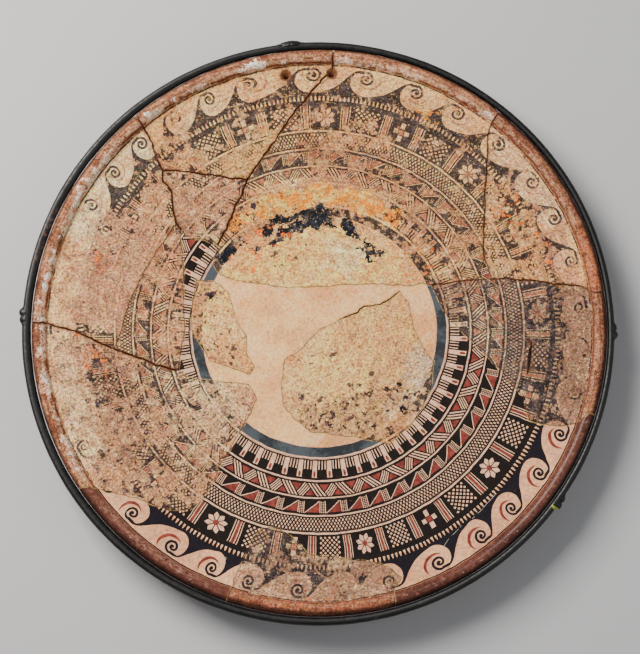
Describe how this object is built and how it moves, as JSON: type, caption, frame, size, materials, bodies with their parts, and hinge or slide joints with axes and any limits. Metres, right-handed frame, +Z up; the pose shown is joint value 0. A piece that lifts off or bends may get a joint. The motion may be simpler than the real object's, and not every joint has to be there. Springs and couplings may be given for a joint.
{
  "type": "restored terracotta plate",
  "caption": "Large shallow painted terracotta plate, rejoined from sherds with plaster fills, with suspension holes near the rim, standing on a foot ring inside a blackened display hoop.",
  "frame": {"origin": "on the plane the foot ring rests on, under the plate's axis", "axes": "+Z up out of the painted face, +Y from the middle towards the suspension holes, +X to the right of that"},
  "size_m": [0.5616, 0.5576, 0.049],
  "materials": {
    "painted_terracotta": "fired clay with worn slip paint, matt",
    "painted_plaster": "smooth tinted plaster with crisp paint, satin",
    "blackened_steel": "black patina, soft gloss"
  },
  "bodies": {
    "root": {"sherd_top": "painted_terracotta", "sherd_top_left": "painted_terracotta", "sherd_upper_left_inner": "painted_terracotta", "sherd_left_rim": "painted_terracotta", "sherd_left_inner": "painted_terracotta", "sherd_left_centre": "painted_terracotta", "sherd_lower_left": "painted_terracotta", "sherd_bottom": "painted_terracotta", "sherd_centre": "painted_terracotta", "sherd_right": "painted_terracotta", "sherd_upper_right": "painted_terracotta", "fill_centre": "painted_plaster", "fill_lower": "painted_plaster", "fill_left": "painted_plaster", "fill_wedge": "painted_plaster", "hoop": "blackened_steel", "hoop_joint_top": "blackened_steel", "hoop_lug_left": "blackened_steel", "hoop_lug_right": "blackened_steel", "hoop_lug_lower_right": "blackened_steel"}
  },
  "joints": []
}
